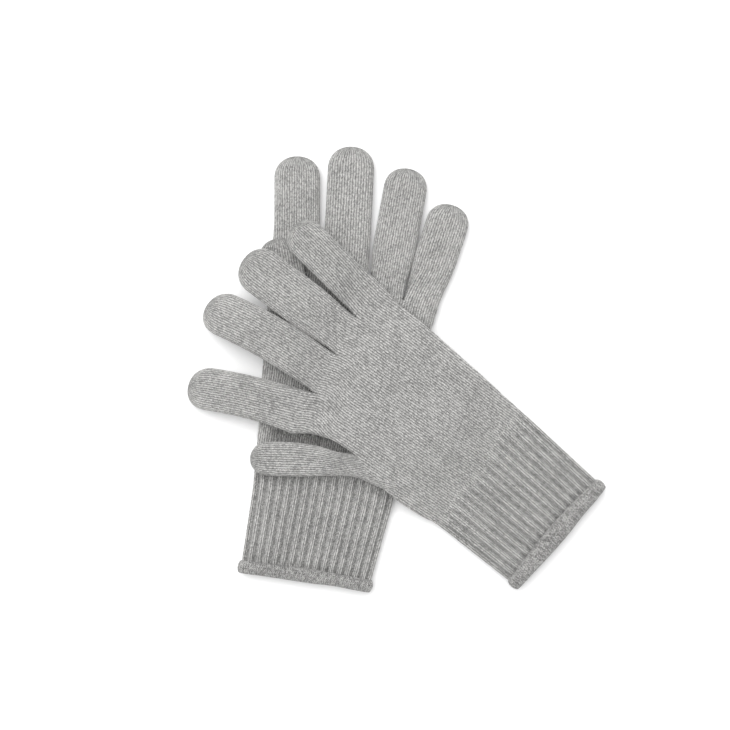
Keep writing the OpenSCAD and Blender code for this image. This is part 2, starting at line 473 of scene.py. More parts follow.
class Faces:
    """Faces of a mesh with the knit's own coordinates at their corners."""

    sharp = math.radians(65)

    def __init__(self, turned: bool) -> None:
        """Starts with no faces.

        Args:
            turned: Whether the faces are to be wound the other way round.
        """
        self.turned = turned
        self.corners: list[np.ndarray] = []
        self.sizes: list[np.ndarray] = []
        self.knit: list[np.ndarray] = []

    def add(self, corners: np.ndarray, wales: np.ndarray, courses: np.ndarray) -> None:
        """Adds faces of one size.

        Args:
            corners: Vertex numbers, a row for each face.
            wales: Wale number at each corner.
            courses: Course number at each corner.
        """
        if self.turned:
            corners, wales, courses = corners[:, ::-1], wales[:, ::-1], courses[:, ::-1]
        self.corners.append(corners.ravel())
        self.sizes.append(np.full(len(corners), corners.shape[1]))
        self.knit.append(np.stack([wales.ravel(), courses.ravel()], axis=1))

    def build(self, name: str, points: np.ndarray) -> bpy.types.Object:
        """Makes the mesh object.

        Args:
            name: Name of the piece.
            points: Its vertices, in metres.

        Returns:
            The object, linked to the scene.
        """
        corners, sizes = np.concatenate(self.corners), np.concatenate(self.sizes)
        mesh = bpy.data.meshes.new(name)
        mesh.vertices.add(len(points))
        mesh.vertices.foreach_set("co", points.astype(np.float32).ravel())
        mesh.loops.add(len(corners))
        mesh.loops.foreach_set("vertex_index", corners.astype(np.int32))
        mesh.polygons.add(len(sizes))
        mesh.polygons.foreach_set("loop_start", (np.cumsum(sizes) - sizes).astype(np.int32))
        mesh.update(calc_edges=True)
        mesh.shade_smooth()
        mesh.set_sharp_from_angle(angle=self.sharp)
        layer = mesh.uv_layers.new(name="knit")
        layer.data.foreach_set("uv", np.concatenate(self.knit).astype(np.float32).ravel())
        mesh.validate()
        piece = bpy.data.objects.new(name, mesh)
        bpy.context.scene.collection.objects.link(piece)
        return piece


@dataclass
class Limb:
    """A finger or thumb: a flattened tube with a round, closed end.

    Attributes:
        name: What it is, as in the names of the frame's nodes.
        length: Distance from its root to its tip, in millimetres.
        blunt: Distance from the tip over which it is rounded off.
        thick: Height of the flattened tube.
        drape: Height of the underside at distances from the root.
        bow: How far its middle bows to the side.
        wales: Wales across one sheet.
        tip_power: How full the outline of the tip is; 2 is an ellipse.
        root_reach: Distance over which its sides are rounded over at the root.
        root_spread: Distance over which its section changes from the root's to its own.
        side_reach: Distance over which the upper sheet is rounded over at the sides.
        floor_reach: Distance over which the lower sheet is rounded over at the sides.
    """

    name: str
    length: float
    blunt: float
    thick: float
    drape: list[tuple[float, float]]
    bow: float = 0.0
    wales: int = 19
    tip_power: float = 2.15
    root_reach: float = 4.0
    root_spread: float = 24.0
    side_reach: float = 7.0
    floor_reach: float = 5.0

    def under(self, distances: np.ndarray) -> np.ndarray:
        """Returns the height of the underside at distances from the root."""
        stations, heights = zip(*self.drape)
        return Course(list(stations), list(heights), 3.5)(distances)

    def narrowing(self, distances: np.ndarray) -> np.ndarray:
        """Returns the share of its width that it has at distances from the root."""
        q = np.clip((distances - self.length + self.blunt) / self.blunt, 0, 1)
        return (1 - q**self.tip_power) ** (1 / self.tip_power)

    def stations(self, start: float, end: float) -> np.ndarray:
        """Spaces the rows of a piece by courses, and closer towards the tip.

        Args:
            start: Distance from the root where the piece starts.
            end: Distance where it ends; its length for the closed end.

        Returns:
            The distance of each row from the root.
        """
        step = KNIT.course / KNIT.rows
        straight = min(end, self.length - self.blunt)
        rows = np.linspace(start, straight, max(2, round((straight - start) / step) + 1))
        if end < self.length:
            return rows
        count = round(math.pi / 2 * self.blunt / step)
        turn = np.linspace(0, math.pi / 2, count + 1)[1:-1]
        return np.concatenate([rows, straight + self.blunt * np.sin(turn)])

    def edges(self, distances: np.ndarray) -> tuple[np.ndarray, np.ndarray]:
        """Returns the two side edges in plan; each kind of limb has its own."""
        raise NotImplementedError

    def outer_sides(self) -> tuple[float, float]:
        """Returns how far each side is rounded over at the root."""
        return self.root_reach, self.root_reach

    def root_columns(self) -> tuple[np.ndarray, float]:
        """Returns where the columns lie across the root, and the wale number of the first one."""
        return np.linspace(0, 1, self.wales * KNIT.columns + 1), 0.0

    def knit(self, start: float, end: float, around: int) -> Knit:
        """Lofts the limb from one distance to another.

        Args:
            start: Distance from the root where the piece starts.
            end: Distance where it ends; its length for the closed end.
            around: Wales round the whole glove, which the lower sheet's are counted back from.

        Returns:
            The knitted shell.
        """
        s = self.stations(start, end)
        share = self.narrowing(s)
        first, second = self.edges(s)
        centre = (first + second) / 2
        first = centre + (first - centre) * share[:, None]
        second = centre + (second - centre) * share[:, None]
        width = np.linalg.norm(second - first, axis=1)
        root, wale = self.root_columns()
        settle = ease(s / self.root_spread)
        outer = self.outer_sides()
        half = self.thick / 2
        rows, above, below = [], [], []
        upper_tip, lower_tip = 0.65 * self.blunt, 0.5 * self.blunt
        for k in range(len(s)):
            sides = [(1 - settle[k]) * reach + settle[k] * self.side_reach for reach in outer]
            sides = [max(0.05, min(side, 0.5 * width[k])) for side in sides]
            level = half * crown(self.length - s[k], upper_tip)
            even = even_fractions(width[k], (sides[0], sides[1]), level, len(root) - 1)
            across = (1 - settle[k]) * root + settle[k] * even
            near, far = across * width[k], (1 - across) * width[k]
            rows.append(across)
            above.append(level * crown(near, sides[0]) * crown(far, sides[1]))
            flat = [min(self.floor_reach, 0.5 * max(width[k], 0.1)) for _ in sides]
            flat = [(1 - settle[k]) * min(a, b) + settle[k] * b for a, b in zip(sides, flat)]
            foot = half * crown(self.length - s[k], lower_tip, FLOOR_POWER)
            below.append(foot * crown(near, flat[0], FLOOR_POWER) * crown(far, flat[1], FLOOR_POWER))
        across, above, below = np.array(rows), np.array(above), np.array(below)
        middle = np.broadcast_to((self.under(s) + half)[:, None], across.shape)
        plan = first[:, None] + across[..., None] * (second - first)[:, None]
        uneven, between_bumps, least_relief = 0.05, 24, 0.25
        above = above * (1 + uneven * waves(plan, between_bumps, len(self.name)) * settle[:, None])
        number = wale + np.arange(len(root)) / KNIT.columns
        return Knit(
            ring_rows(first, second, across, middle, above, below),
            upper=number,
            lower=2 * around - number,
            courses=s / KNIT.course,
            closed=end >= self.length,
            strength=np.clip(share, least_relief, 1)[:, None],
        )


@dataclass
class Finger(Limb):
    """A finger that grows out of the knuckle line.

    Attributes:
        root: Width at the knuckle line, in millimetres.
        width: Width beyond the knuckles.
        heading: Direction from +X, in degrees.
        spread: Distance over which its edges come from the root to its own width.
        line: The two ends of its root, set by the glove.
        first_wale: Wale of the hand at its root, set by the glove.
        outside: Which of its sides are sides of the hand, set by the glove.
        hand_reach: Distance over which such a side is rounded over at the root.
    """

    root: float = 27.0
    width: float = 28.0
    heading: float = 90.0
    spread: float = 32.0
    line: tuple[np.ndarray, np.ndarray] = field(default_factory=lambda: (np.zeros(2), np.zeros(2)))
    first_wale: int = 0
    outside: tuple[bool, bool] = (False, False)
    hand_reach: float = 16.0

    def edges(self, distances: np.ndarray) -> tuple[np.ndarray, np.ndarray]:
        """Draws the two sides of the finger, with a hair's breadth between it and the next one.

        Args:
            distances: Distances from the knuckle line.

        Returns:
            The first and the second side edge in plan, a row for each distance.
        """
        apart, apart_from = 0.35, 5
        way = heading(self.heading)
        aside = heading(self.heading + 90)
        start, end = self.line
        settle = ease(distances / self.spread)[:, None]
        bow = self.bow * np.sin(math.pi * np.clip(distances / self.length, 0, 1))
        centre = (start + end) / 2 + distances[:, None] * way + bow[:, None] * aside
        arm = (1 - settle) * (end - start) / 2 + settle * aside * self.width / 2
        gap = apart * ease(distances / apart_from)[:, None] * arm / np.linalg.norm(arm, axis=1, keepdims=True)
        return centre - arm + gap, centre + arm - gap

    def outer_sides(self) -> tuple[float, float]:
        """Returns how far each side is rounded over at the root."""
        first, second = self.outside
        return self.hand_reach if first else self.root_reach, self.hand_reach if second else self.root_reach

    def root_wales(self) -> int:
        """Returns the number of the hand's wales that run into the finger."""
        return round(self.root / KNIT.wale)

    def hand_columns(self, half: float) -> np.ndarray:
        """Returns where the hand's columns lie across the root, with hand edges spaced evenly."""
        first, second = (self.hand_reach if side else 0.0 for side in self.outside)
        return even_fractions(self.root, (first, second), half, self.root_wales() * KNIT.columns)

    def root_columns(self) -> tuple[np.ndarray, float]:
        """Gathers the wales that the hand doesn't have into the crotches.

        Returns:
            Where the columns lie across the root, and the wale number of the first one.
        """
        extra = max(0, self.wales - self.root_wales())
        first, second = self.outside
        before = 0 if first else extra if second else extra // 2
        after = extra - before
        gathered = 0.012
        low = gathered if before else 0.0
        high = 1 - gathered if after else 1.0
        own = low + (high - low) * self.hand_columns(self.thick / 2)
        start = np.linspace(0, low, before * KNIT.columns + 1)[:-1]
        end = np.linspace(high, 1, after * KNIT.columns + 1)[1:]
        return np.concatenate([start, own, end]), self.first_wale - before


@dataclass
class Thumb(Limb):
    """A thumb whose outline is given by pairs of edge points.

    Attributes:
        rows: Upper and lower edge points from inside the hand to where the tip is rounded.
    """

    rows: list[tuple[tuple[float, float], tuple[float, float]]] = field(default_factory=list)

    def __post_init__(self) -> None:
        """Works out the length and the smooth edges from the rows."""
        table = np.array(self.rows, float) + CENTRING
        middle = table.mean(axis=1)
        steps = np.linalg.norm(np.diff(middle, axis=0), axis=1)
        stations = np.concatenate([[0], np.cumsum(steps)])
        self.length = float(stations[-1]) + self.blunt
        self.first = Course(list(stations), list(table[:, 0]), 2.5)
        self.second = Course(list(stations), list(table[:, 1]), 2.5)

    def edges(self, distances: np.ndarray) -> tuple[np.ndarray, np.ndarray]:
        """Returns the two side edges in plan at distances from the root."""
        return self.first(distances), self.second(distances)


@dataclass
class Glove:
    """One glove: its hand, fingers, thumb, cuff and hem, with sizes in millimetres.

    Attributes:
        side: left or right, as in the names of the frame's nodes.
        knuckle: Little-finger end of the knuckle line.
        line: Direction of the knuckle line, in degrees from +X.
        across: Direction across the wales of the hand, in degrees from +X.
        fingers: Little, ring, middle and index finger.
        thumb: The thumb.
        hand_rows: Edges and underside of the hand beyond the knuckle line, up to the cuff.
        cuff_end: Edges and underside at the end of the cuff.
        slot: The record's slot of the plain knitting.
        lie: Height that the hand lies at.
        thick: Height of the flattened tube.
        ribs: Ribs across one sheet of the cuff.
        floor_reach: Distance over which the hand's lower sheet is rounded over at the sides.
        cuff_reach: The same for the cuff.
        hem_length: Length of the rolled hem along the cuff.
        hem_rise: Radius of the roll where it is thickest.
        hem_bow: How far the roll's inner and outer edge bow outwards.
        index_side: How far the hand is rounded over along its index side, by distance.
        rib_run: How far the ribs run up into the hand.
        dent: Start, end, width and depth of a dent pressed into the hand.
    """

    side: str
    knuckle: tuple[float, float]
    line: float
    across: float
    fingers: list[Finger]
    thumb: Thumb
    hand_rows: list[tuple[tuple[float, float], tuple[float, float], float]]
    cuff_end: tuple[tuple[float, float], tuple[float, float], float]
    slot: Slot
    lie: float = 0.0
    thick: float = 9.0
    ribs: float = 16.5
    floor_reach: float = 8.0
    cuff_reach: float = 7.0
    hem_length: float = 8.0
    hem_rise: float = 2.4
    hem_bow: tuple[float, float] = (-1.5, -1.0)
    index_side: tuple[tuple[float, float], ...] = ((0, 16), (100, 16))
    rib_run: float = 0.0
    dent: tuple[tuple[float, float], tuple[float, float], float, float] | None = None

    def __post_init__(self) -> None:
        """Works out the smooth edges of hand and cuff, and shares the knuckle line among the fingers."""
        start = np.array(self.knuckle) + CENTRING
        end = start + sum(f.root for f in self.fingers) * heading(self.line)
        rows = [(start, end, self.lie)]
        for first, second, under in [*self.hand_rows, self.cuff_end]:
            rows.append((np.array(first) + CENTRING, np.array(second) + CENTRING, under))
        middles = np.array([(a + b) / 2 for a, b, _ in rows])
        steps = np.linalg.norm(np.diff(middles, axis=0), axis=1)
        stations = [0.0, *np.cumsum(steps)]
        self.seam, self.end = float(stations[-2]), float(stations[-1])
        self.first = Course(stations, [a for a, _, _ in rows], 4)
        self.second = Course(stations, [b for _, b, _ in rows], 4)
        self.under = Course(stations, [z for _, _, z in rows], 4)
        zero = np.zeros(1)
        a, b = self.first(zero)[0], self.second(zero)[0]
        total = sum(f.root for f in self.fingers)
        done, wale = 0.0, 0
        for k, finger in enumerate(self.fingers):
            finger.line = (a + (b - a) * done / total, a + (b - a) * (done + finger.root) / total)
            finger.first_wale = wale
            finger.outside = (k == 0, k == len(self.fingers) - 1)
            done += finger.root
            wale += finger.root_wales()
        self.wales = wale

    def body(self, name: str) -> str:
        """Returns the frame's name of one of the glove's bodies."""
        return f"{self.side}_{name}"

    def dress(
        self, piece: bpy.types.Object, finish: bpy.types.Material, nodes: list[str]
    ) -> None:
        """Finishes a piece and reports it.

        Args:
            piece: The piece.
            finish: Its material.
            nodes: Names of the frame's nodes that it stands for, without the side.
        """
        piece.data.materials.append(finish)
        if nodes:
            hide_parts(*[self.body(n) for n in nodes])
        LOG.info("%s: %d faces", piece.name, len(piece.data.polygons))

    def palm(self, finish: bpy.types.Material) -> bpy.types.Object:
        """Lofts the hand from the knuckle line to the cuff.

        Args:
            finish: Material of the plain knitting.

        Returns:
            The piece, riding on the hand.
        """
        end = self.seam - self.rib_run
        t = np.linspace(0, end, round(end * KNIT.rows / KNIT.course) + 1)
        first, second = self.first(t), self.second(t)
        total = sum(f.root for f in self.fingers)
        half = self.thick / 2
        across, done = [np.zeros(1)], 0.0
        for finger in self.fingers:
            across.append((done + finger.root * finger.hand_columns(half)[1:]) / total)
            done += finger.root
        across = np.broadcast_to(np.concatenate(across), (len(t), self.wales * KNIT.columns + 1))
        width = np.linalg.norm(second - first, axis=1)[:, None]
        plan = first[:, None] + across[..., None] * (second - first)[:, None]
        near, far = across * width, (1 - across) * width
        stations = [station for station, _ in self.index_side]
        far_reach = Course(stations, [reach for _, reach in self.index_side], 2)(t)[:, None]
        shape = crown(near, self.fingers[0].hand_reach) * crown(far, far_reach)
        foot = crown(near, self.floor_reach, FLOOR_POWER) * crown(far, self.floor_reach, FLOOR_POWER)
        for finger in self.fingers[1:]:
            away = np.linalg.norm(plan - finger.line[0], axis=2)
            shape = shape * crown(away, finger.root_reach)
            foot = foot * crown(away, finger.root_reach)
        uneven, between_bumps = 0.06, 42
        away_from_ends = ease(t / 25)[:, None] * ease((end - t) / 12)[:, None]
        wobble = waves(plan, between_bumps, 3 + len(self.side)) * away_from_ends
        above = half * shape * (1 + uneven * wobble)
        if self.dent:
            above = above - self.dent_depth(plan)
        middle = np.broadcast_to((self.under(t) + half)[:, None], across.shape)
        centre = (first[0] + second[0]) / 2
        narrowing, numbers_settle = 0.07, 22
        spacing = (1 - narrowing * ease(t / self.seam))[:, None] * total / self.wales
        number = self.wales / 2 + (plan - centre) @ heading(self.across) / spacing
        at_root = np.arange(across.shape[1]) / KNIT.columns
        number = at_root + (number - at_root) * ease(t / numbers_settle)[:, None]
        knit = Knit(
            ring_rows(first, second, across, middle, above, half * foot),
            upper=number,
            lower=2 * self.wales - number,
            courses=-t / KNIT.course,
        )
        piece = knit.mesh(self.body("palm"))
        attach(piece, self.body("hand"))
        nodes = ["hand"] if self.side == "right" else ["hand", *[f"{f.name}_base" for f in self.fingers]]
        self.dress(piece, finish, nodes)
        return piece

    def dent_depth(self, plan: np.ndarray) -> np.ndarray:
        """Works out the dent that what lies on the hand presses into it.

        Args:
            plan: Points of the upper sheet in plan.

        Returns:
            How deep the dent is at each point.
        """
        level = 0.3
        start, end, width, depth = self.dent
        start = np.array(start) + CENTRING
        run = np.array(end) + CENTRING - start
        along = np.clip((plan - start) @ run / (run @ run), 0, 1)
        away = np.linalg.norm(plan - start - along[..., None] * run, axis=2)
        return depth * (1 - ease(away / width - level))

    def digits(self, finish: bpy.types.Material) -> None:
        """Lofts each finger as a root and an end, which meet just before the middle joint.

        Args:
            finish: Material of the plain knitting.
        """
        across = heading(self.line)
        forward = np.array([across[1], -across[0]])
        if forward @ heading(self.fingers[0].heading) < 0:
            forward = -forward
        for finger in self.fingers:
            joint = anchor(self.body(f"{finger.name}_joint"))
            middle = (finger.line[0] + finger.line[1]) / 2
            reach = float(np.linalg.norm(np.array(joint[:2]) / MM - middle))
            split = reach - JOINT_START
            root = finger.knit(0, split, self.wales).mesh(self.body(f"{finger.name}_root"))
            end = finger.knit(split, finger.length, self.wales).mesh(self.body(f"{finger.name}_end"))
            if self.side == "right":
                base = self.body(f"{finger.name}_base")
                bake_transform(root)
                nodes = [f"{finger.name}_base"]
            else:
                base = self.body("hand")
                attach(root, base)
                nodes = []
            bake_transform(end)
            self.dress(root, finish, nodes)
            self.dress(end, finish, [f"{finger.name}_tip"])

    def thumb_piece(self, finish: bpy.types.Material) -> bpy.types.Object:
        """Lofts the thumb.

        Args:
            finish: Material of the plain knitting.

        Returns:
            The piece.
        """
        knit = self.thumb.knit(0, self.thumb.length, 0)
        piece = knit.mesh(self.body("thumb_tube"))
        if self.side == "right":
            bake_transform(piece)
        else:
            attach(piece, self.body("hand"))
        self.dress(piece, finish, ["thumb"])
        return piece

    def cuff_knit(self, tuck: float) -> Knit:
        """Lofts the ribbed cuff.

        Args:
            tuck: How far the cuff starts inside the hand.

        Returns:
            The knitted shell.
        """
        start = self.seam - self.rib_run
        t = np.arange(start - tuck, self.end + 0.01, KNIT.course / KNIT.rows)
        t[-1] = self.end
        first, second = self.first(t), self.second(t)
        count = round(self.ribs * KNIT.rib_wales) * KNIT.rib_columns
        half = self.thick / 2
        width = np.linalg.norm(second - first, axis=1)
        reach = self.fingers[0].hand_reach
        even = np.array([even_fractions(w, (reach, reach), half, count) for w in width])
        near, far = even * width[:, None], (1 - even) * width[:, None]
        slack, pinch, pinch_from, pinch_over = 0.15, 0.34, 6.5, 4.5
        hidden = (1 - slack * ease((start - t) / tuck))[:, None]
        drawn_in = (1 - pinch * ease((t - self.end + pinch_from) / pinch_over))[:, None]
        above = half * crown(near, reach) * crown(far, reach) * hidden * drawn_in
        foot = crown(near, self.cuff_reach, FLOOR_POWER) * crown(far, self.cuff_reach, FLOOR_POWER)
        below = half * foot * hidden
        middle = np.broadcast_to((self.under(t) + half)[:, None], even.shape)
        plan = first[:, None] + even[..., None] * (second - first)[:, None]
        uneven, between_bumps = 0.05, 40
        above = above * (1 + uneven * waves(plan, between_bumps, 11 + len(self.side)))
        number = np.arange(count + 1) / KNIT.rib_columns
        rib = (np.arange(2 * count) / KNIT.rib_columns / KNIT.rib_wales).astype(int)
        earliest, latest, grows_over, least_relief = -3.0, 4.5, 5, 0.1
        late = np.random.default_rng(5).uniform(earliest, latest, rib.max() + 1)[rib]
        grown = ease((t[:, None] - start - late[None]) / grows_over)
        return Knit(
            ring_rows(first, second, even, middle, above, below),
            upper=number,
            lower=2 * self.ribs * KNIT.rib_wales - number,
            courses=(start - t) / KNIT.course,
            fabric=Fabric.RIB,
            strength=least_relief + (1 - least_relief) * grown,
            inner_columns=2 * KNIT.rib_columns,
        )

    def cuff(self, finish: bpy.types.Material) -> Knit:
        """Builds the ribbed cuff.

        Args:
            finish: Material of the ribbed knitting.

        Returns:
            The knitted shell, whose end the hem follows.
        """
        knit = self.cuff_knit(tuck=1.2)
        piece = knit.mesh(self.body("cuff_rib"))
        seam = np.array([self.seam])
        line = (self.second(seam) - self.first(seam))[0]
        way = Vector((line[1], -line[0], 0)).normalized()
        ahead = (self.first(seam + 5) - self.first(seam))[0]
        if way.x * ahead[0] + way.y * ahead[1] < 0:
            way = -way
        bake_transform(piece)
        self.dress(piece, finish, ["cuff"])
        return knit

    def hem(self, cuff: Knit, finish: bpy.types.Material) -> bpy.types.Object:
        """Rolls the hem round the end of the cuff.

        Args:
            cuff: The cuff's shell.
            finish: Material of the rolled knitting.

        Returns:
            The piece, riding on the cuff.
        """
        points, out = self.hem_points(cuff, sides=40)
        sides, count = points.shape[:2]
        r, c, beside = cells(sides, count)
        below = (r + 1) % sides
        corners = (r * count + c, r * count + beside, below * count + beside, below * count + c)
        top = sides // 4
        probe = points[top, 1] - points[top, 0]
        back = points[top + 1, 0] - points[top, 0]
        faces = Faces(bool(np.cross(probe, back) @ out[0] < 0))
        wale, course = 1 / KNIT.rib_columns, 0.45
        u, v = c / KNIT.rib_columns, r * course
        faces.add(
            np.stack(corners, axis=1),
            np.stack([u, u + wale, u + wale, u], axis=1),
            np.stack([v, v, v + course, v + course], axis=1),
        )
        piece = faces.build(self.body("rolled_hem"), points.reshape(-1, 3) * MM)
        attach(piece, self.body("cuff"))
        self.dress(piece, finish, ["hem"])
        return piece

    def hem_points(self, cuff: Knit, sides: int) -> tuple[np.ndarray, np.ndarray]:
        """Shapes the roll, which stands up from the cuff and is pressed flat underneath.

        Args:
            cuff: The cuff's shell.
            sides: Points round the roll's section.

        Returns:
            Its points as a row round the cuff for each side, and the outward directions.
        """
        inset, side_loss, pressed_radius = 0.9, 1.1, 0.9
        normals, _ = cuff.outward()
        ring, out = cuff.rings[-1], normals[-1]
        away = cuff.rings[-1].mean(axis=0) - cuff.rings[-6].mean(axis=0)
        away[2] = 0
        away /= np.linalg.norm(away)
        out = out - (out @ away)[:, None] * away
        out /= np.linalg.norm(out, axis=1, keepdims=True)
        turn = np.linspace(0, 2 * math.pi, sides, endpoint=False)
        round_cuff = np.arange(len(ring)) / len(ring)
        wander = sum(np.sin(2 * math.pi * k * round_cuff + k * k) / k for k in (2, 3, 5, 7))
        upright = np.abs(out[:, 2])
        pressed = ease(-out[:, 2])
        radius = self.hem_rise - side_loss * (1 - upright) + 0.12 * wander
        radius = radius * (1 - pressed) + pressed_radius * pressed
        bow = np.sin(math.pi * (1 - np.abs(1 - 2 * round_cuff)))
        inwards = self.hem_bow[0] * bow - inset
        reach = self.hem_length / 2 + 0.2 * wander
        reach = reach + (self.hem_bow[1] - self.hem_bow[0]) / 2 * bow
        lip = 1 + 0.05 * np.cos(3 * turn + 0.8)
        along = inwards[None] + reach[None] * (1 + np.cos(turn)[:, None] * lip[:, None])
        seat = 2 * KNIT.rib_rise - 0.8 * upright
        tuck = np.where(np.sin(turn) < 0, 1.5, 1.0)[:, None]
        rise = (radius - seat)[None] + radius[None] * (np.sin(turn) * lip)[:, None] * tuck
        bumps = 0.12 * np.cos(2 * math.pi * np.arange(len(ring)) / KNIT.rib_columns)
        rise = rise + bumps[None] * np.sin(turn)[:, None]
        points = ring[None] + along[..., None] * away + rise[..., None] * out[None]
        points[..., 2] = np.maximum(points[..., 2], LOWEST)
        return points, out

    def closing_stitches(self, finish: bpy.types.Material) -> bpy.types.Object:
        """Sews the short stitches that close the crotch between two fingers.

        Args:
            finish: Material of the yarn.

        Returns:
            The piece, riding on the hand.
        """
        stitches, first_stitch, pitch, yarn, sunk = 7, 1.4, 0.85, 0.38, 0.35
        draw = np.random.default_rng(len(self.side))
        curve = bpy.data.curves.new(self.body("closing_stitches"), "CURVE")
        curve.dimensions = "3D"
        curve.bevel_depth = yarn * MM
        curve.bevel_resolution = 2
        curve.use_fill_caps = True
        across = heading(self.line)
        for finger in self.fingers[1:]:
            crotch = finger.line[0]
            back = -heading(finger.heading)
            top = self.lie + self.thick
            for k in range(stitches):
                place = first_stitch + pitch * k
                shift = back * place + across * draw.uniform(-0.5, 0.5)
                reach = draw.uniform(1.2, 2.2)
                lean = back * draw.uniform(-0.8, 0.8)
                spline = curve.splines.new("NURBS")
                spline.points.add(3)
                depth = self.thick / 2 * (1 - crown(np.array([place]), finger.root_reach)[0])
                for point, (side, dip) in zip(spline.points, ARCH):
                    plan = crotch + shift + across * side * reach + lean * side
                    point.co = (*(plan * MM), (top - sunk - dip - 0.6 * depth) * MM, 1)
                spline.use_endpoint_u = True
                spline.order_u = 3
        shape = bpy.data.objects.new(self.body("closing_stitches"), curve)
        bpy.context.scene.collection.objects.link(shape)
        bpy.ops.object.select_all(action="DESELECT")
        shape.select_set(True)
        bpy.context.view_layer.objects.active = shape
        bpy.ops.object.convert(target="MESH")
        piece = bpy.context.view_layer.objects.active
        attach(piece, self.body("hand"))
        self.dress(piece, finish, [])
        return piece


def anchor(joint: str) -> Vector:
    """Returns the place of a joint of the frame, in metres."""
    return Vector(next(j["pos_m"] for j in frame["joints"] if j["name"] == joint))


class Graph:
    """Short ways to lay nodes in a node tree."""

    def __init__(self, tree: bpy.types.NodeTree) -> None:
        """Works in the tree given."""
        self.tree = tree

    def node(self, kind: str, **settings: object) -> bpy.types.Node:
        """Adds a node.

        Args:
            kind: Its type.
            settings: Its properties by name.

        Returns:
            The node.
        """
        made = self.tree.nodes.new(kind)
        for name, value in settings.items():
            setattr(made, name, value)
        return made

    def feed(self, socket: bpy.types.NodeSocket, value: object) -> None:
        """Links or sets an input.

        Args:
            socket: The input.
            value: The output to link it to, or a constant to set it to.
        """
        if isinstance(value, bpy.types.NodeSocket):
            self.tree.links.new(value, socket)
        else:
            socket.default_value = value

    def math(self, operation: str, *values: object) -> bpy.types.NodeSocket:
        """Adds a Math node.

        Args:
            operation: What it does.
            values: Sockets or numbers that it works on.

        Returns:
            Its result.
        """
        made = self.node("ShaderNodeMath", operation=operation)
        for socket, value in zip(made.inputs, values):
            self.feed(socket, value)
        return made.outputs[0]

    def span(
        self, value: object, low: float, high: float, to_low: float, to_high: float
    ) -> bpy.types.NodeSocket:
        """Carries a value over smoothly from one range to another.

        Args:
            value: Socket or number.
            low: Start of its range.
            high: End of its range.
            to_low: Result at the start.
            to_high: Result at the end.

        Returns:
            The result.
        """
        made = self.node("ShaderNodeMapRange", interpolation_type="SMOOTHSTEP")
        names = ("Value", "From Min", "From Max", "To Min", "To Max")
        for name, given in zip(names, (value, low, high, to_low, to_high)):
            self.feed(made.inputs[name], given)
        return made.outputs["Result"]

    def noise(self, vector: object, scale: float, detail: float, roughness: float) -> bpy.types.Node:
        """Adds a Noise Texture.

        Args:
            vector: Where it is looked up.
            scale: How fine it is.
            detail: How many finer layers it has.
            roughness: How strong the finer layers are.

        Returns:
            The node.
        """
        made = self.node("ShaderNodeTexNoise")
        self.feed(made.inputs["Vector"], vector)
        self.feed(made.inputs["Scale"], scale)
        self.feed(made.inputs["Detail"], detail)
        self.feed(made.inputs["Roughness"], roughness)
        return made

    def blend(self, share: object, first: object, second: object) -> bpy.types.NodeSocket:
        """Mixes two colours.

        Args:
            share: Share of the second colour.
            first: First colour.
            second: Second colour.

        Returns:
            The mixed colour.
        """
        made = self.node("ShaderNodeMix", data_type="RGBA", blend_type="MIX")
        for index, value in zip((0, 6, 7), (share, first, second)):
            self.feed(made.inputs[index], value)
        return made.outputs[2]

    def weigh(self, sum_so_far: object, value: object, weight: float) -> bpy.types.NodeSocket:
        """Adds a value that varies about a half, times a weight.

        Args:
            sum_so_far: Socket or number to add to.
            value: Socket between 0 and 1.
            weight: How much it counts.

        Returns:
            The new sum.
        """
        return self.math("ADD", sum_so_far, self.math("MULTIPLY", self.math("SUBTRACT", value, 0.5), weight))


def new_group(
    name: str, inputs: dict[str, str], outputs: dict[str, str]
) -> tuple[bpy.types.NodeTree, Graph, bpy.types.Node, bpy.types.Node]:
    """Makes an empty shader node group.

    Args:
        name: Name of the group.
        inputs: Kind of each input socket by name.
        outputs: Kind of each output socket by name.

    Returns:
        The group, its graph, its input node and its output node.
    """
    group = bpy.data.node_groups.new(name, "ShaderNodeTree")
    for way, sockets in (("INPUT", inputs), ("OUTPUT", outputs)):
        for title, kind in sockets.items():
            group.interface.new_socket(name=title, in_out=way, socket_type=f"NodeSocket{kind}")
    graph = Graph(group)
    return group, graph, graph.node("NodeGroupInput"), graph.node("NodeGroupOutput")


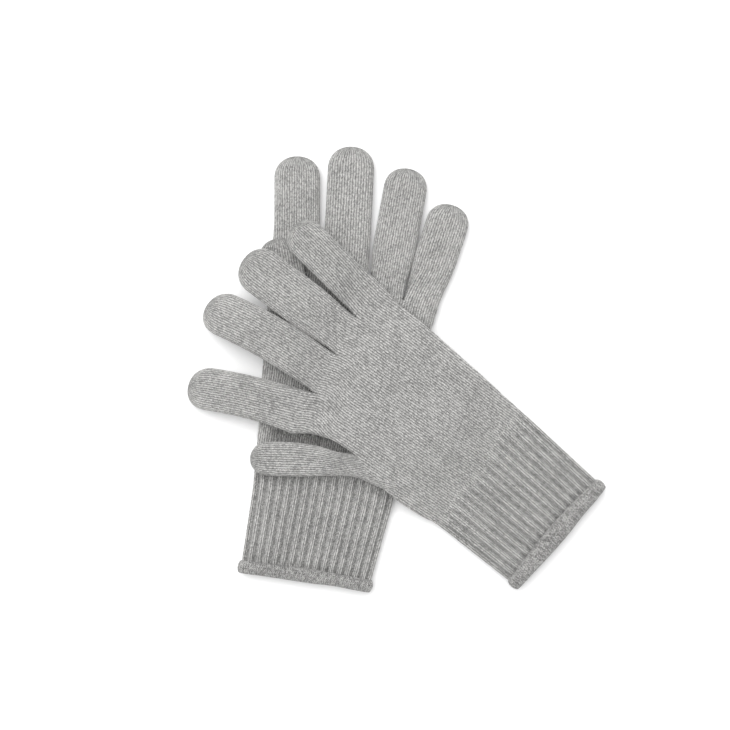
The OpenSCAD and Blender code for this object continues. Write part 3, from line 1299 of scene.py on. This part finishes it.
def loops_group() -> bpy.types.NodeTree:
    """Builds the group that draws the loops of the knitting.

    Returns:
        A group from the knit's own coordinates, and how far the rough side shows, to the
        height of the loops, how open the knit is and a number for each leg of a loop.
    """
    group, g, given, put = new_group(
        "knit_loops",
        {"Knit": "Vector", "Reverse": "Float"},
        {"Height": "Float", "Cover": "Float", "Thread": "Float"},
    )
    knit = given.outputs["Knit"]
    split = g.node("ShaderNodeSeparateXYZ")
    g.feed(split.inputs[0], knit)
    drift = g.noise(knit, 0.45, 2.0, 0.6)
    parts = g.node("ShaderNodeSeparateColor")
    g.feed(parts.inputs[0], drift.outputs["Color"])
    u = g.weigh(split.outputs["X"], parts.outputs[0], 0.25)
    v = g.weigh(split.outputs["Y"], parts.outputs[1], 0.9)
    slant = g.math("MULTIPLY", g.math("ABSOLUTE", g.math("SUBTRACT", g.math("FRACT", u), 0.5)), 2.0)
    course = g.math("SUBTRACT", v, g.math("MULTIPLY", slant, 0.8))
    within = g.math("SUBTRACT", g.math("MULTIPLY", g.math("FRACT", course), 2.0), 1.0)
    leg = g.math("SUBTRACT", 1.0, g.math("POWER", g.math("ABSOLUTE", within), 3.0))
    groove = g.span(slant, 0.42, 0.92, 1.0, 0.0)
    crease = g.span(slant, 0.0, 0.2, 0.75, 1.0)
    plain = g.math("MULTIPLY", groove, crease)
    plain = g.math("MULTIPLY", plain, g.math("ADD", 0.4, g.math("MULTIPLY", leg, 0.6)))
    arc = g.math("COSINE", g.math("MULTIPLY", u, 2 * math.pi))
    row = g.math("ADD", v, g.math("MULTIPLY", arc, 0.3))
    rough = g.math("POWER", g.math("ABSOLUTE", g.math("SINE", g.math("MULTIPLY", row, math.pi))), 0.8)
    rough = g.math("MULTIPLY", rough, g.math("ADD", 0.75, g.math("MULTIPLY", arc, 0.25)))
    rougher = g.math("MULTIPLY", g.math("SUBTRACT", rough, plain), given.outputs["Reverse"])
    height = g.math("ADD", plain, rougher)
    cell = g.node("ShaderNodeCombineXYZ")
    g.feed(cell.inputs[0], g.math("FLOOR", g.math("MULTIPLY", u, 2.0)))
    g.feed(cell.inputs[1], g.math("FLOOR", course))
    shade = g.node("ShaderNodeTexWhiteNoise", noise_dimensions="2D")
    g.feed(shade.inputs["Vector"], cell.outputs[0])
    g.feed(put.inputs["Height"], height)
    # Cover marks where the loops stand high; the marl group paints shade into the rest.
    g.feed(put.inputs["Cover"], g.span(height, 0.05, 0.6, 0.0, 1.0))
    g.feed(put.inputs["Thread"], shade.outputs["Value"])
    return group


def marl_group() -> bpy.types.NodeTree:
    """Builds the group that mixes light and dark fibres into a marled yarn and paints shade into the gaps
    between the loops.

    Returns:
        A group from object coordinates and what the loops give to a colour and a fine fuzz.
    """
    group, g, given, put = new_group(
        "marl_yarn",
        {
            "Place": "Vector",
            "Cover": "Float",
            "Thread": "Float",
            "Light": "Color",
            "Dark": "Color",
            "Gap": "Float",
        },
        {"Color": "Color", "Fuzz": "Float"},
    )
    place = given.outputs["Place"]
    fibre = g.noise(place, 2600.0, 2.0, 0.6).outputs["Fac"]
    fleck = g.noise(place, 900.0, 1.0, 0.5).outputs["Fac"]
    patch = g.noise(place, 70.0, 2.0, 0.5).outputs["Fac"]
    share = 0.5
    for value, weight in ((fibre, 1.6), (fleck, 0.75), (patch, 0.35), (given.outputs["Thread"], 0.55)):
        share = g.weigh(share, value, weight)
    colour = g.blend(g.span(share, 0.0, 1.0, 0.0, 1.0), given.outputs["Dark"], given.outputs["Light"])
    gap_shaded = g.node("ShaderNodeVectorMath", operation="SCALE")
    g.feed(gap_shaded.inputs[0], colour)
    # Painted shade: where the loops lie low, the colour is darkened by the Gap share, as if the gaps between
    # loops lay in shade.
    uncovered = g.math("SUBTRACT", 1.0, given.outputs["Cover"])
    painted_shade = g.math("MULTIPLY", uncovered, given.outputs["Gap"])
    g.feed(gap_shaded.inputs["Scale"], g.math("SUBTRACT", 1.0, painted_shade))
    g.feed(put.inputs["Color"], gap_shaded.outputs[0])
    g.feed(put.inputs["Fuzz"], fibre)
    return group


@dataclass(frozen=True)
class YarnFinish:
    """Finish of a knitted fabric.

    Attributes:
        name: Name of the material.
        fabric: How the loops lie.
        light: Colour of the pale fibres.
        dark: Colour of the dark fibres.
        gap: How much painted shade darkens it between the loops.
        valley_shade: How bright the rough side is in the valleys between the ribs; painted shade for the
            recessed loops.
        relief: Height of the loops, in millimetres.
    """

    name: str
    fabric: Fabric
    light: tuple[float, float, float]
    dark: tuple[float, float, float]
    gap: float
    valley_shade: float = 1.0
    relief: float = 0.5

    def material(self, loops: bpy.types.NodeTree, marl: bpy.types.NodeTree) -> bpy.types.Material:
        """Builds the material.

        Args:
            loops: Group that draws the loops.
            marl: Group that mixes the fibres.

        Returns:
            The material.
        """
        made = bpy.data.materials.new(self.name)
        made.use_nodes = True
        g = Graph(made.node_tree)
        shader = made.node_tree.nodes["Principled BSDF"]
        knit = g.node("ShaderNodeUVMap", uv_map="knit").outputs[0]
        place = g.node("ShaderNodeTexCoord").outputs["Object"]
        reverse = self.reverse(g, knit)
        drawn = g.node("ShaderNodeGroup", node_tree=loops)
        g.feed(drawn.inputs["Knit"], knit)
        g.feed(drawn.inputs["Reverse"], reverse)
        yarn = g.node("ShaderNodeGroup", node_tree=marl)
        g.feed(yarn.inputs["Place"], place)
        g.feed(yarn.inputs["Cover"], drawn.outputs["Cover"])
        g.feed(yarn.inputs["Thread"], drawn.outputs["Thread"])
        g.feed(yarn.inputs["Light"], (*self.light, 1))
        g.feed(yarn.inputs["Dark"], (*self.dark, 1))
        g.feed(yarn.inputs["Gap"], self.gap)
        colour = yarn.outputs["Color"]
        # Painted shade: the rough loops in the rib valleys are darkened as if the recesses lay in shade.
        if self.fabric is Fabric.RIB:
            valley_shaded = g.node("ShaderNodeVectorMath", operation="SCALE")
            g.feed(valley_shaded.inputs[0], colour)
            painted_shade = g.math("MULTIPLY", reverse, 1 - self.valley_shade)
            g.feed(valley_shaded.inputs["Scale"], g.math("SUBTRACT", 1.0, painted_shade))
            colour = valley_shaded.outputs[0]
        bump = g.node("ShaderNodeBump")
        g.feed(bump.inputs["Strength"], 1.0)
        g.feed(bump.inputs["Distance"], self.relief * MM)
        height = g.math("ADD", drawn.outputs["Height"], g.math("MULTIPLY", yarn.outputs["Fuzz"], 0.4))
        g.feed(bump.inputs["Height"], height)
        g.feed(shader.inputs["Base Color"], colour)
        g.feed(shader.inputs["Normal"], bump.outputs["Normal"])
        g.feed(shader.inputs["Roughness"], 0.95)
        g.feed(shader.inputs["Specular IOR Level"], 0.15)
        g.feed(shader.inputs["Sheen Weight"], 0.25)
        g.feed(shader.inputs["Sheen Roughness"], 0.6)
        return made

    def reverse(self, g: Graph, knit: bpy.types.NodeSocket) -> object:
        """Works out how far the rough side of the loops shows.

        Args:
            g: Graph of the material.
            knit: Socket with the knit's own coordinates.

        Returns:
            A number, or the socket of a mask in the ribs, which start unevenly below the hand.
        """
        if self.fabric is not Fabric.RIB:
            return float(self.fabric is Fabric.REVERSE)
        split = g.node("ShaderNodeSeparateXYZ")
        g.feed(split.inputs[0], knit)
        ribs = g.math("DIVIDE", split.outputs["X"], KNIT.rib_wales)
        turn = g.math("MULTIPLY", g.math("SUBTRACT", ribs, 0.25), 2 * math.pi)
        mask = g.span(g.math("COSINE", turn), -0.85, -0.2, 1.0, 0.0)
        one = g.node("ShaderNodeTexWhiteNoise", noise_dimensions="1D")
        g.feed(one.inputs["W"], g.math("FLOOR", g.math("ADD", ribs, 0.25)))
        below = g.math("MULTIPLY", split.outputs["Y"], -1.0)
        start = g.math("SUBTRACT", below, g.math("MULTIPLY", one.outputs["Value"], 7.0))
        return g.math("MULTIPLY", mask, g.span(start, -4.0, 2.0, 0.0, 1.0))


@dataclass
class Studio:
    """Pale floor, soft light and a camera straight above, with sizes in metres.

    Attributes:
        floor: Side of the floor.
        shade: Colour of the floor.
        view: Width of what the camera sees.
        centre: Point that the camera looks down at.
        lens: Focal length, in millimetres.
        ambient: Strength of the light from all round.
        lamp: Strength of the soft lamp.
        lamp_size: How wide the lamp looks from the gloves, in degrees.
        lamp_lean: How far the lamp leans about X and about Y, in degrees.
    """

    floor: float = 6.0
    shade: float = 0.95
    view: float = 0.4599
    centre: tuple[float, float] = (-0.019, 0.0035)
    lens: float = 85.0
    ambient: float = 0.74
    lamp: float = 2.6
    lamp_size: float = 60.0
    lamp_lean: tuple[float, float] = (-22.0, -14.0)

    def build(self) -> None:
        """Makes the floor, the lights and the camera."""
        self.lay_floor()
        self.light()
        self.set_camera()

    def lay_floor(self) -> None:
        """Makes the floor, just under the gloves."""
        under = 0.0004
        bpy.ops.mesh.primitive_plane_add(size=self.floor, location=(0, 0, -under))
        floor = bpy.context.active_object
        floor.name = "floor"
        paint = bpy.data.materials.new("pale_floor")
        paint.use_nodes = True
        shader = paint.node_tree.nodes["Principled BSDF"]
        shader.inputs["Base Color"].default_value = (self.shade, self.shade, self.shade, 1)
        shader.inputs["Roughness"].default_value = 1.0
        shader.inputs["Specular IOR Level"].default_value = 0.0
        floor.data.materials.append(paint)

    def light(self) -> None:
        """Makes the light from all round and the soft lamp."""
        world = bpy.data.worlds.new("studio")
        world.use_nodes = True
        world.node_tree.nodes["Background"].inputs[0].default_value = (1, 1, 1, 1)
        world.node_tree.nodes["Background"].inputs[1].default_value = self.ambient
        bpy.context.scene.world = world
        lamp = bpy.data.lights.new("soft_lamp", "SUN")
        lamp.energy = self.lamp
        lamp.angle = math.radians(self.lamp_size)
        holder = bpy.data.objects.new("soft_lamp", lamp)
        holder.rotation_euler = (*(math.radians(lean) for lean in self.lamp_lean), 0)
        bpy.context.scene.collection.objects.link(holder)

    def set_camera(self) -> None:
        """Makes the camera, which looks straight down."""
        scene = bpy.context.scene
        camera = bpy.data.cameras.new("camera")
        camera.lens = self.lens
        camera.clip_end = 20
        eye = bpy.data.objects.new("camera", camera)
        eye.location = (*self.centre, self.view * self.lens / camera.sensor_width)
        scene.collection.objects.link(eye)
        scene.camera = eye
        scene.view_settings.view_transform = "Standard"


def centring() -> np.ndarray:
    """Compares the right little finger's hinge in the frame with its place in the sizes below.

    Returns:
        The move from the sizes' own origin to the frame's, in millimetres.
    """
    hinge = np.array(anchor("right_little_knuckle")[:2]) / MM
    root = np.array(RIGHT_KNUCKLE) + RIGHT_ROOTS[0] / 2 * heading(RIGHT_LINE)
    return np.round(hinge - root, 2)


# Little-finger end and direction of the right knuckle line, and the width of each root.
RIGHT_KNUCKLE = (-14.0, 58.0)
RIGHT_LINE = 241.5
RIGHT_ROOTS = (26.5, 26.5, 27.5, 29.0)
CENTRING = centring()
# Height of a flattened tube, and heights at which the right glove lies.
TUBE = 9.0
ON_GLOVE = 9.4
ON_THUMB = 14.8


def right_glove() -> Glove:
    """Sets out the right glove, which lies back up across the left one.

    Returns:
        The glove.
    """
    climb = [(-20, ON_GLOVE), (3, ON_GLOVE), (20, ON_THUMB)]
    over_ring = [*climb, (74, ON_THUMB), (80, ON_THUMB - 1)]
    over_middle = [*climb, (54, ON_THUMB), (60, ON_THUMB - 1.8), (85, 2.5)]
    over_index = [(0, ON_GLOVE), (47, ON_GLOVE), (53, ON_GLOVE - 1.8), (71, 0.5), (74, 0)]
    over_thumb = [(0, ON_GLOVE - 0.2), (20, ON_GLOVE - 0.2), (30, ON_GLOVE), (90, ON_GLOVE)]
    little, ring, middle, index = RIGHT_ROOTS
    fingers = [
        Finger(
            "little", 62.5, 12.0, TUBE, [*climb, (62, ON_THUMB)],
            root=little, width=25, heading=135.5, wales=20,
        ),
        Finger("ring", 78.3, 14.0, TUBE, over_ring, root=ring, width=30, heading=143, wales=23),
        Finger(
            "middle", 85, 14.0, TUBE, over_middle,
            root=middle, width=28.2, heading=150.6, bow=-2.8, wales=22,
        ),
        Finger(
            "index", 74, 13.5, TUBE, over_index,
            root=index, width=27.2, heading=166.9, bow=-2.2, hand_reach=6, wales=22,
        ),
    ]
    thumb = Thumb(
        "thumb", 0.0, 11.0, TUBE, over_thumb, wales=18, root_reach=5, side_reach=4.5,
        rows=[
            ((-2, -50), (-1, -76)),
            ((-14, -50.5), (-13, -71.2)),
            ((-26, -51.3), (-25, -65.4)),
            ((-38, -49.8), (-35, -64.4)),
            ((-48.8, -46), (-46, -64.6)),
            ((-62, -43.8), (-60, -64.9)),
            ((-74.8, -43.2), (-73.5, -64.8)),
            ((-81.2, -43.4), (-80.8, -64.2)),
        ],
    )
    return Glove(
        "right", RIGHT_KNUCKLE, RIGHT_LINE, 235.0, fingers, thumb,
        hand_rows=[
            ((-6.3, 49.9), (-53.5, -38), ON_GLOVE),
            ((1.4, 41.4), (-40, -42.4), ON_GLOVE),
            ((22, 25), (-26, -51.5), ON_GLOVE),
            ((33, 15), (-17, -66), ON_GLOVE),
            ((53.4, -3), (-1.0, -79.8), ON_GLOVE),
            ((67, -15.5), (13, -89.3), 4),
            ((75.8, -23.1), (24.8, -95.2), 0),
        ],
        cuff_end=((124.5, -68.3), (70.2, -130.9), 0.5),
        slot=Slot.RIGHT,
        lie=ON_GLOVE,
        hem_bow=(-3.0, 0.5),
        index_side=((0, 6), (38, 4), (47, 0.8), (62, 0.8), (82, 16), (200, 16)),
    )


def left_glove() -> Glove:
    """Sets out the left glove, which lies underneath, palm up.

    Returns:
        The glove.
    """
    flat = [(0, 0.0), (100, 0.0)]
    fingers = [
        Finger("little", 65.5, 12.5, TUBE, flat, root=22.5, width=27.4, heading=71.7, wales=20),
        Finger("ring", 79.6, 13.0, TUBE, flat, root=23, width=27.6, heading=79.5, wales=21),
        Finger("middle", 84.2, 14.0, TUBE, flat, root=30.5, width=29.6, heading=87.0, wales=20),
        Finger("index", 68.5, 13.5, TUBE, flat, root=33, width=29.2, heading=89.8, wales=22),
    ]
    thumb = Thumb(
        "thumb", 0.0, 13.0, 4.7, [(0, TUBE), (90, TUBE)], wales=18, root_reach=6,
        rows=[
            ((-78, 14.5), (-51.8, 19.8)),
            ((-81, 36), (-55, 40)),
            ((-84, 56), (-57.5, 60)),
            ((-86, 69), (-59.5, 72.5)),
        ],
    )
    return Glove(
        "left", (25.0, 39.0), 162.5, 170.0, fingers, thumb,
        hand_rows=[
            ((20.5, 25), (-81.5, 45.5), 0),
            ((11, -17.5), (-85.5, -8), 0),
            ((2.3, -55), (-88.5, -49), 0),
            ((-4.1, -85), (-90.5, -72.5), 0),
        ],
        cuff_end=((-17.0, -131.0), (-97.6, -118.7), 0.5),
        slot=Slot.LEFT,
        rib_run=17.0,
        dent=((-69, -41), (-36, -47.5), 11.0, 7.6),
    )


LIGHT_FIBRE = (0.69, 0.683, 0.666)
DARK_FIBRE = (0.24, 0.238, 0.232)
RIB_LIGHT_FIBRE = (0.73, 0.723, 0.704)
RIB_DARK_FIBRE = (0.24, 0.238, 0.232)
HEM_LIGHT_FIBRE = (0.57, 0.564, 0.55)
HEM_DARK_FIBRE = (0.13, 0.128, 0.125)
# gap sets the painted shade between the loops; valley sets the painted shade in the rib valleys.
FINISHES = {
    Slot.LEFT: YarnFinish("left_marl", Fabric.PLAIN, LIGHT_FIBRE, DARK_FIBRE, gap=0.52),
    Slot.RIGHT: YarnFinish("right_marl", Fabric.PLAIN, LIGHT_FIBRE, DARK_FIBRE, gap=0.6),
    Slot.RIB: YarnFinish("rib_marl", Fabric.RIB, RIB_LIGHT_FIBRE, RIB_DARK_FIBRE, gap=0.66, valley_shade=0.6),
    Slot.HEM: YarnFinish(
        "hem_marl", Fabric.REVERSE, HEM_LIGHT_FIBRE, HEM_DARK_FIBRE, gap=0.75, relief=0.5
    ),
}


def main() -> None:
    """Builds both gloves and the studio, and reports each piece."""
    logging.basicConfig(level=logging.INFO, format="%(name)s: %(message)s")
    bpy.ops.object.select_all(action="DESELECT")
    loops, marl = loops_group(), marl_group()
    finishes = {slot: finish.material(loops, marl) for slot, finish in FINISHES.items()}
    for glove in (left_glove(), right_glove()):
        plain = finishes[glove.slot]
        glove.palm(plain)
        glove.digits(plain)
        glove.thumb_piece(plain)
        glove.hem(glove.cuff(finishes[Slot.RIB]), finishes[Slot.HEM])
        glove.closing_stitches(plain)
    Studio().build()


if __name__ == "__main__":
    main()
